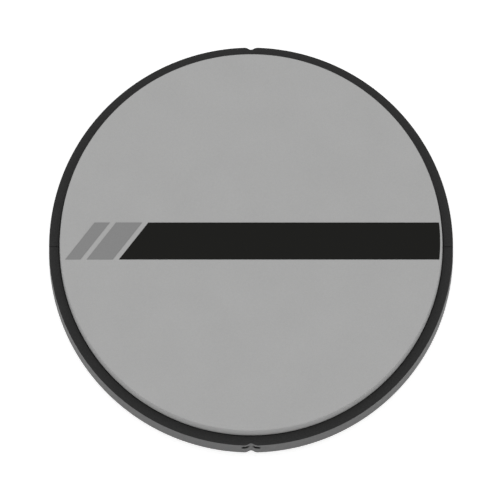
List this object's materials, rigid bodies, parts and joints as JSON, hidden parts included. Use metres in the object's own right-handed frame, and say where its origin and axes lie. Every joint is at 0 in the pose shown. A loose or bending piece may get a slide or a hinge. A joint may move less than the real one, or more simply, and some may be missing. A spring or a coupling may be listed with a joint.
{
  "type": "dental milling disc",
  "caption": "Round milling blank for dental frameworks: a grey pressed metal-powder disc bonded in a black split rim ring with index notches, printed with a slanted band.",
  "frame": {"origin": "middle of the blank's back face, on which the disc lies", "axes": "+Z through the disc from back to printed face, +Y to 12 o'clock of the print, +X to 3 o'clock"},
  "size_m": [0.0984, 0.0984, 0.0221],
  "materials": {
    "pressed_powder": "matt, fine-grained",
    "black_plastic": "satin, moulded",
    "adhesive": "cured adhesive",
    "black_ink": "matt printed film",
    "grey_ink": "matt printed film"
  },
  "bodies": {
    "root": {"blank": "pressed_powder", "bond_line": "adhesive", "ring_half_upper": "black_plastic", "ring_half_lower": "black_plastic", "print_band": "black_ink", "print_stripe_wide": "grey_ink", "print_stripe_narrow": "grey_ink"}
  },
  "joints": []
}
